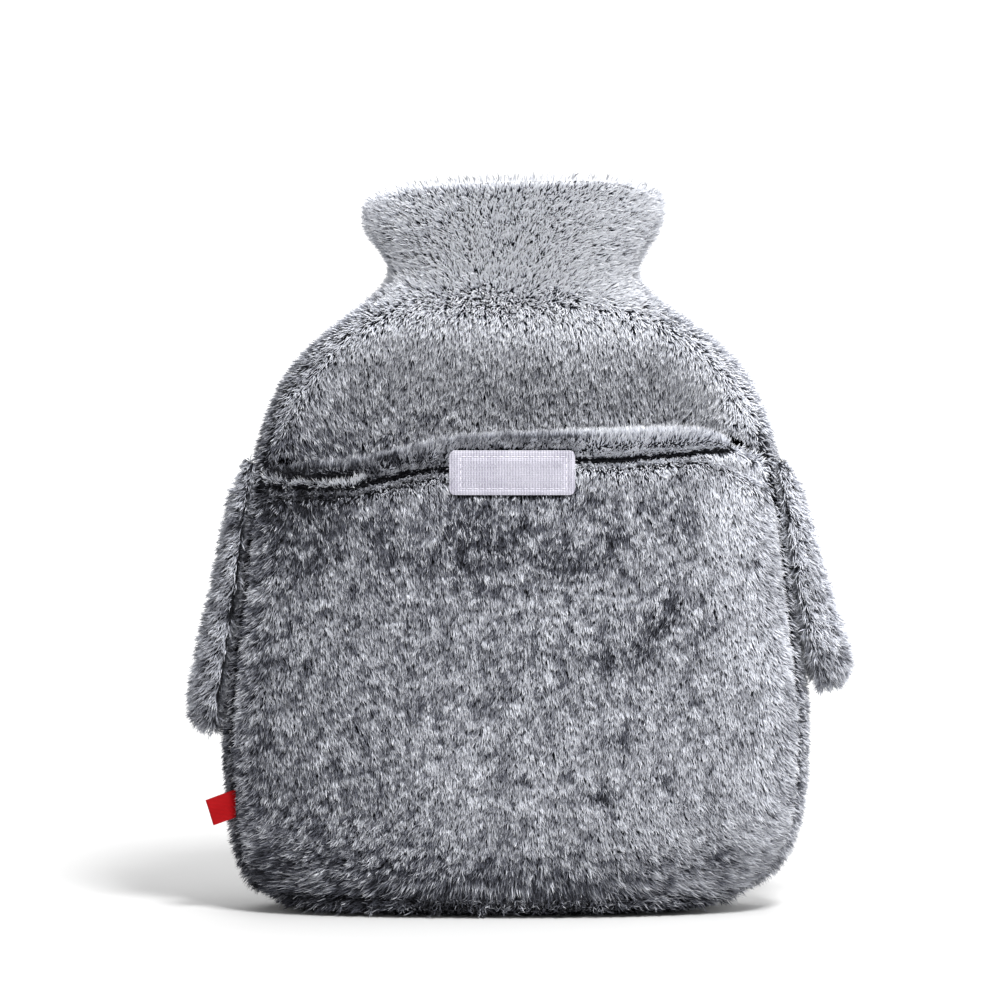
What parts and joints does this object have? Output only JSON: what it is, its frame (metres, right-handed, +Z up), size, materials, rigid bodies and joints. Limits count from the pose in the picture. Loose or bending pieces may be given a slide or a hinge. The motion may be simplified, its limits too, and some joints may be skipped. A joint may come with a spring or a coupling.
{
  "type": "hot water bottle cover",
  "caption": "Plush hot water bottle cover with padded arms, a flared collar and an open pocket slit across the back.",
  "frame": {"origin": "on the surface that the cover stands on, on its flat base, under the middle of the cover's width and depth", "axes": "+Z up, from the base to the collar; -Y towards the back with the slit and the pocket; +X to the right as the back is seen"},
  "size_m": [0.3002, 0.0872, 0.3333],
  "materials": {
    "plush_fur": "long-pile faux fur, grey with frosted tips",
    "fastener_tape": "woven touch-fastener tape, white",
    "red_ribbon": "woven satin ribbon, red"
  },
  "bodies": {
    "root": {"front_panel": "plush_fur", "back_lower_panel": "plush_fur", "back_upper_panel": "plush_fur", "arm_left": "plush_fur", "arm_right": "plush_fur", "closure_strip": "fastener_tape", "label_tab": "red_ribbon"}
  },
  "joints": []
}
